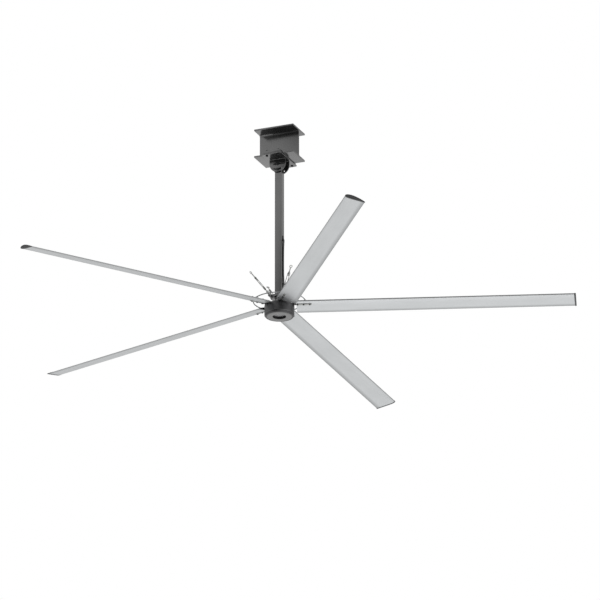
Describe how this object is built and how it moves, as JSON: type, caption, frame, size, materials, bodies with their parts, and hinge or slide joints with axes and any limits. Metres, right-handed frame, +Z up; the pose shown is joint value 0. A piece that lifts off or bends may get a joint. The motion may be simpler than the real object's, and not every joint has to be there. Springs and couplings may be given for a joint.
{
  "type": "high volume low speed ceiling fan",
  "caption": "Large ceiling fan: long pitched aerofoil blades round a drum motor on a square downrod, hung by a hinged bracket clamped under a short steel beam.",
  "frame": {"origin": "centre of the top face of the short steel beam that the fan hangs from", "axes": "+Z up, +X along the beam, +Y across it and along the hanger's hinge"},
  "size_m": [4.6906, 4.5003, 1.6423],
  "materials": {
    "painted_steel": "grey satin paint",
    "cast_housing": "dark grey satin paint on cast metal",
    "blade_aluminium": "satin anodised",
    "dark_plastic": "dark moulded plastic",
    "zinc_steel": "zinc plated",
    "black_steel": "black oxide",
    "cable_jacket": "black cable jacket",
    "bearing_steel": "ground steel",
    "copper_winding": "enamelled copper wire",
    "core_steel": "laminated steel",
    "rubber": "moulded rubber",
    "wire_rope": "stranded wire rope"
  },
  "bodies": {
    "root": {"beam_stub": "painted_steel", "hanger_bracket": "painted_steel", "beam_clamp_near": "painted_steel", "beam_clamp_far": "painted_steel", "clamp_bolt_1": "black_steel", "clamp_bolt_2": "black_steel", "clamp_bolt_3": "black_steel", "clamp_bolt_4": "black_steel", "pivot_bolt": "black_steel", "pivot_nut": "black_steel"},
    "hanger": {"downrod": "painted_steel", "lock_bolt": "black_steel", "lock_nut": "black_steel", "cable_grommet_lower": "rubber", "cable_grommet_upper": "rubber", "motor_cable": "cable_jacket", "motor_shaft": "cast_housing", "stator_core": "core_steel", "winding_lower": "copper_winding", "winding_upper": "copper_winding"},
    "rotor": {"rotor_housing": "cast_housing", "lower_cover": "cast_housing", "magnet_ring": "core_steel", "bearing_upper": "bearing_steel", "bearing_lower": "bearing_steel", "blade_carrier": "black_steel", "safety_ring": "wire_rope", "blade_1": "blade_aluminium", "blade_2": "blade_aluminium", "blade_3": "blade_aluminium", "blade_4": "blade_aluminium", "blade_5": "blade_aluminium", "blade_cap_1": "dark_plastic", "blade_cap_2": "dark_plastic", "blade_cap_3": "dark_plastic", "blade_cap_4": "dark_plastic", "blade_cap_5": "dark_plastic", "bolt_strip_1": "zinc_steel", "bolt_strip_2": "zinc_steel", "bolt_strip_3": "zinc_steel", "bolt_strip_4": "zinc_steel", "bolt_strip_5": "zinc_steel", "nut_strip_1": "zinc_steel", "nut_strip_2": "zinc_steel", "nut_strip_3": "zinc_steel", "nut_strip_4": "zinc_steel", "nut_strip_5": "zinc_steel"},
    "jaw_1": {"turnbuckle_jaw_1": "zinc_steel"},
    "body_1": {"turnbuckle_body_1": "zinc_steel"},
    "eye_1": {"turnbuckle_eye_1": "zinc_steel"},
    "jaw_2": {"turnbuckle_jaw_2": "zinc_steel"},
    "body_2": {"turnbuckle_body_2": "zinc_steel"},
    "eye_2": {"turnbuckle_eye_2": "zinc_steel"},
    "jaw_3": {"turnbuckle_jaw_3": "zinc_steel"},
    "body_3": {"turnbuckle_body_3": "zinc_steel"},
    "eye_3": {"turnbuckle_eye_3": "zinc_steel"},
    "jaw_4": {"turnbuckle_jaw_4": "zinc_steel"},
    "body_4": {"turnbuckle_body_4": "zinc_steel"},
    "eye_4": {"turnbuckle_eye_4": "zinc_steel"}
  },
  "joints": [
    {"name": "hanger_tilt", "type": "hinge", "parent": "root", "child": "hanger", "pos_m": [0, 0, -0.2983], "axis": [0, 1, 0], "range_deg": [-29, 29]},
    {"name": "rotor_spin", "type": "hinge", "parent": "hanger", "child": "rotor", "pos_m": [0, 0, -1.5483], "axis": [0, 0, 1], "continuous": true},
    {"name": "turnbuckle_swing_1", "type": "hinge", "parent": "hanger", "child": "jaw_1", "pos_m": [0.06329, 0.06329, -1.4539], "axis": [0.7071, -0.7071, 0], "range_deg": [0, 45]},
    {"name": "turnbuckle_turn_1", "type": "hinge", "parent": "jaw_1", "child": "body_1", "pos_m": [0.06329, 0.06329, -1.4539], "axis": [0.5, 0.5, 0.7071], "range_deg": [-1802, 3603]},
    {"name": "turnbuckle_eye_slide_1", "type": "slide", "parent": "jaw_1", "child": "eye_1", "axis": [-0.5, -0.5, -0.7071], "range_m": [-0.0125, 0.025]},
    {"name": "turnbuckle_swing_2", "type": "hinge", "parent": "hanger", "child": "jaw_2", "pos_m": [-0.06329, 0.06329, -1.4539], "axis": [0.7071, 0.7071, 0], "range_deg": [0, 45]},
    {"name": "turnbuckle_turn_2", "type": "hinge", "parent": "jaw_2", "child": "body_2", "pos_m": [-0.06329, 0.06329, -1.4539], "axis": [-0.5, 0.5, 0.7071], "range_deg": [-1802, 3603]},
    {"name": "turnbuckle_eye_slide_2", "type": "slide", "parent": "jaw_2", "child": "eye_2", "axis": [0.5, -0.5, -0.7071], "range_m": [-0.0125, 0.025]},
    {"name": "turnbuckle_swing_3", "type": "hinge", "parent": "hanger", "child": "jaw_3", "pos_m": [-0.06329, -0.06329, -1.4539], "axis": [-0.7071, 0.7071, 0], "range_deg": [0, 45]},
    {"name": "turnbuckle_turn_3", "type": "hinge", "parent": "jaw_3", "child": "body_3", "pos_m": [-0.06329, -0.06329, -1.4539], "axis": [-0.5, -0.5, 0.7071], "range_deg": [-1802, 3603]},
    {"name": "turnbuckle_eye_slide_3", "type": "slide", "parent": "jaw_3", "child": "eye_3", "axis": [0.5, 0.5, -0.7071], "range_m": [-0.0125, 0.025]},
    {"name": "turnbuckle_swing_4", "type": "hinge", "parent": "hanger", "child": "jaw_4", "pos_m": [0.06329, -0.06329, -1.4539], "axis": [-0.7071, -0.7071, 0], "range_deg": [0, 45]},
    {"name": "turnbuckle_turn_4", "type": "hinge", "parent": "jaw_4", "child": "body_4", "pos_m": [0.06329, -0.06329, -1.4539], "axis": [0.5, -0.5, 0.7071], "range_deg": [-1802, 3603]},
    {"name": "turnbuckle_eye_slide_4", "type": "slide", "parent": "jaw_4", "child": "eye_4", "axis": [-0.5, 0.5, -0.7071], "range_m": [-0.0125, 0.025]}
  ],
  "couplings": [
    {"joint": "turnbuckle_turn_1", "follows": "turnbuckle_eye_slide_1", "rad_per_m": 2513.3},
    {"joint": "turnbuckle_turn_2", "follows": "turnbuckle_eye_slide_2", "rad_per_m": 2513.3},
    {"joint": "turnbuckle_turn_3", "follows": "turnbuckle_eye_slide_3", "rad_per_m": 2513.3},
    {"joint": "turnbuckle_turn_4", "follows": "turnbuckle_eye_slide_4", "rad_per_m": 2513.3}
  ]
}
